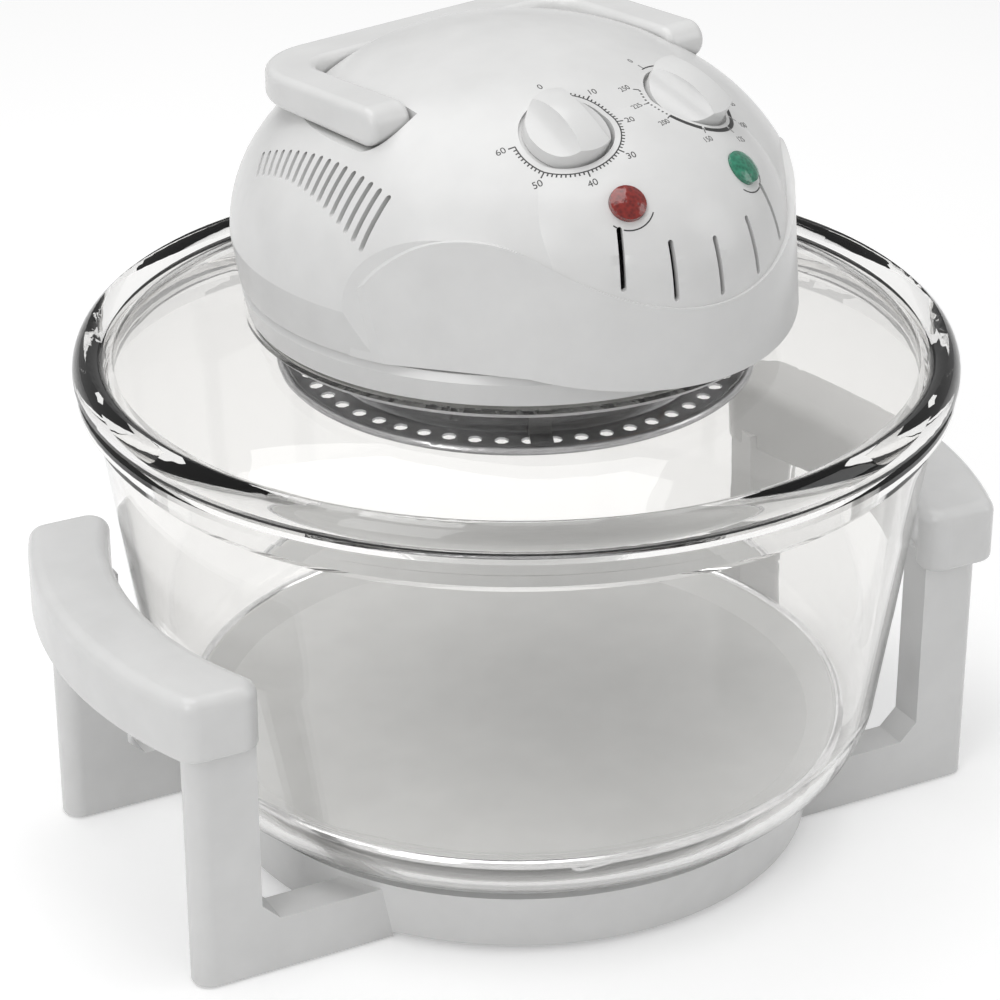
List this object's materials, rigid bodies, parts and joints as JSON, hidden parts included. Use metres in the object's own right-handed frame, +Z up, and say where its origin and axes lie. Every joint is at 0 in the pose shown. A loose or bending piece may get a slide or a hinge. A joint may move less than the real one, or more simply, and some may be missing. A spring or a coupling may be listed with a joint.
{
  "type": "halogen oven",
  "caption": "Countertop halogen oven: round glass bowl on a stand with side grips, and a lift-off glass lid with a domed heater head, two dials and a folding carry handle.",
  "frame": {"origin": "on the bowl's axis at the level of the feet, in the middle of the footprint", "axes": "+Z up along the bowl's axis; the control panel faces -Y; the stand's grips lie near +X and -X, turned 12 degrees under the head as in the picture"},
  "size_m": [0.367, 0.3262, 0.3135],
  "materials": {
    "white_plastic": "gloss moulded",
    "black_plastic": "satin moulded",
    "clear_glass": "clear pressed",
    "quartz": "clear tube",
    "red_lens": "translucent",
    "green_lens": "translucent",
    "chrome_wire": "plated",
    "guard_steel": "bright pressed",
    "steel": "zinc plated",
    "core_steel": "laminated",
    "aluminium_sheet": "pressed",
    "copper": "drawn",
    "bronze": "sintered",
    "ceramic": "unglazed",
    "coil_wrap": "taped winding",
    "white_enamel": "gloss enamel",
    "silicone": "translucent grey",
    "rubber_feet": "matt"
  },
  "bodies": {
    "stand": {"base_ring": "white_plastic", "right_handle_bracket": "white_plastic", "left_handle_bracket": "white_plastic", "stand_feet": "rubber_feet", "bracket_screws": "steel"},
    "bowl": {"glass_bowl": "clear_glass"},
    "rack": {"low_rack": "chrome_wire"},
    "tray": {"baking_tray": "white_enamel", "tray_rim": "chrome_wire"},
    "lid": {"glass_lid": "clear_glass", "head_gasket": "silicone", "clamp_gasket": "silicone", "clamp_ring": "steel", "lower_housing": "white_plastic", "upper_housing": "white_plastic", "housing_screws": "steel", "cord_gland": "black_plastic", "handle_pins": "steel", "safety_switch": "black_plastic", "timer_body": "steel", "timer_bell": "steel", "thermostat_body": "black_plastic", "thermostat_bulb": "copper", "power_lens": "red_lens", "heat_lens": "green_lens", "pilot_lamp_holders": "black_plastic", "reflector": "steel", "lamp_guard": "guard_steel", "guard_straps": "guard_steel", "halogen_lamp": "quartz", "lamp_end_caps": "ceramic", "lamp_holders": "steel", "motor_stack": "core_steel", "motor_coil": "coil_wrap", "motor_bracket": "steel", "motor_bridge": "steel", "motor_bearings": "bronze", "terminal_block": "ceramic", "thermal_fuse": "steel"},
    "carry_handle": {"carry_handle": "white_plastic"},
    "switch_plunger": {"switch_plunger": "black_plastic"},
    "timer_knob": {"timer_knob": "white_plastic", "timer_shaft": "steel"},
    "temperature_knob": {"temperature_knob": "white_plastic", "thermostat_shaft": "steel"},
    "fan_rotor": {"motor_shaft": "steel", "fan_nut": "steel", "convection_fan": "aluminium_sheet", "cooling_fan": "black_plastic", "motor_rotor": "core_steel"}
  },
  "joints": [
    {"name": "bowl_lift", "type": "slide", "parent": "stand", "child": "bowl", "axis": [0, 0, 1], "range_m": [0, 0.12]},
    {"name": "rack_lift", "type": "slide", "parent": "bowl", "child": "rack", "axis": [0, 0, 1], "range_m": [0, 0.06]},
    {"name": "tray_lift", "type": "slide", "parent": "rack", "child": "tray", "axis": [0, 0, 1], "range_m": [0, 0.06]},
    {"name": "lid_lift", "type": "slide", "parent": "bowl", "child": "lid", "axis": [0, 0, 1], "range_m": [0, 0.15]},
    {"name": "handle_fold", "type": "hinge", "parent": "lid", "child": "carry_handle", "pos_m": [0, -0.009, 0.2965], "axis": [1, 0, 0], "range_deg": [0, 80]},
    {"name": "switch_press", "type": "slide", "parent": "lid", "child": "switch_plunger", "axis": [0, 0, 1], "range_m": [0, 0.0032]},
    {"name": "timer_turn", "type": "hinge", "parent": "lid", "child": "timer_knob", "pos_m": [-0.0273, -0.0594, 0.2984], "axis": [0.0698, 0.4529, -0.8888], "range_deg": [0, 285]},
    {"name": "temperature_turn", "type": "hinge", "parent": "lid", "child": "temperature_knob", "pos_m": [0.0273, -0.0594, 0.2984], "axis": [-0.0698, 0.4529, -0.8888], "range_deg": [0, 265]},
    {"name": "fan_spin", "type": "hinge", "parent": "lid", "child": "fan_rotor", "pos_m": [0, 0, 0.21], "axis": [0, 0, 1], "continuous": true}
  ],
  "couplings": [
    {"joint": "switch_press", "follows": "handle_fold", "m_per_rad": 0.0021486}
  ]
}
